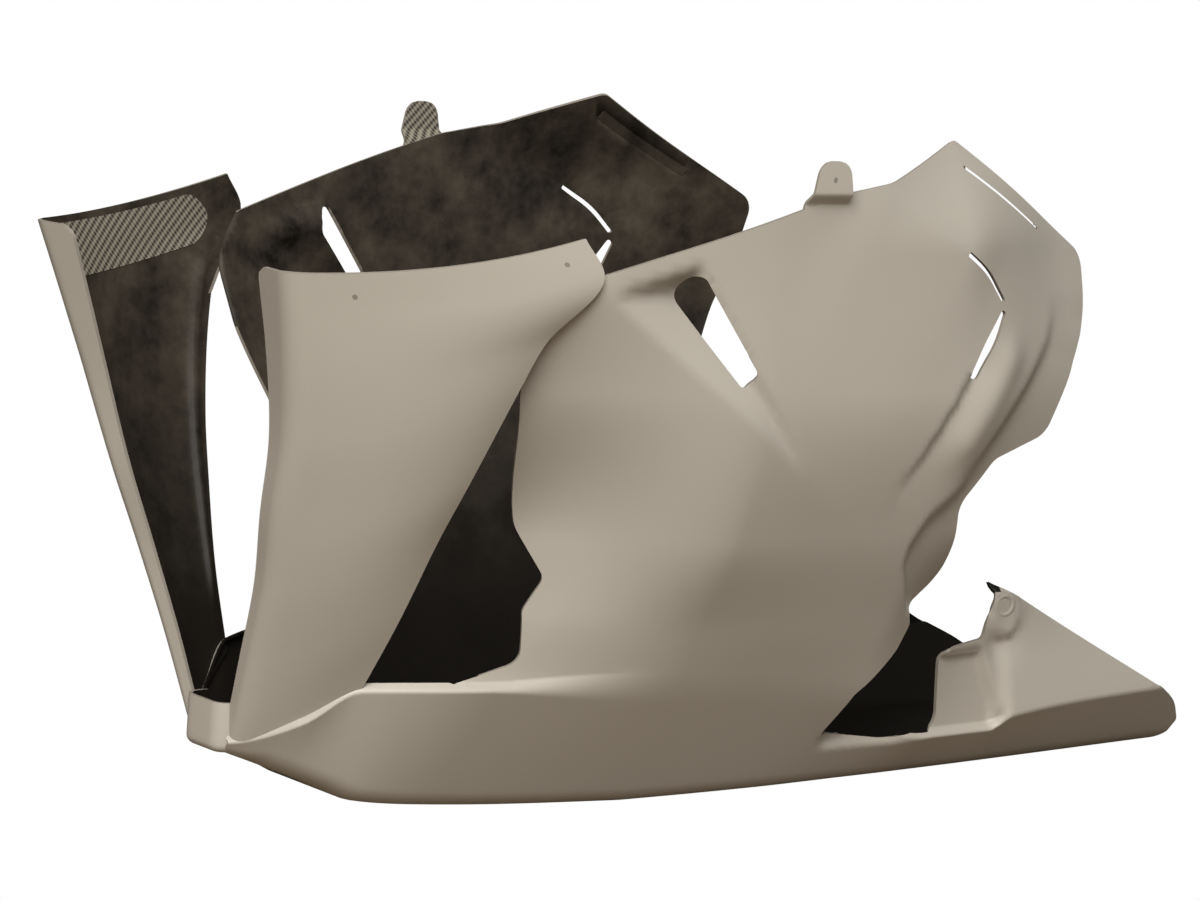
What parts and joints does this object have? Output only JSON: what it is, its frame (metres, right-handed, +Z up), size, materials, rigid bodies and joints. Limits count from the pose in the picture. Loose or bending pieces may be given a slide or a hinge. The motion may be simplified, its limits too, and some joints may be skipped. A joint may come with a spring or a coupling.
{
  "type": "motorbike lower fairing",
  "caption": "Moulded belly fairing with two side panels, front ducts, air vents, top tabs and an open tail, which closes the space round a sports motorbike's engine.",
  "frame": {"origin": "middle of the overall box at the underside of the belly, on the bike's middle plane", "axes": "+X towards the rear of the bike, +Y to the bike's right, +Z up"},
  "size_m": [0.889, 0.446, 0.4663],
  "materials": {
    "laminate": "satin grey primer gel-coat outside, bare black laminate inside"
  },
  "bodies": {
    "root": {"fairing_shell": "laminate"}
  },
  "joints": []
}
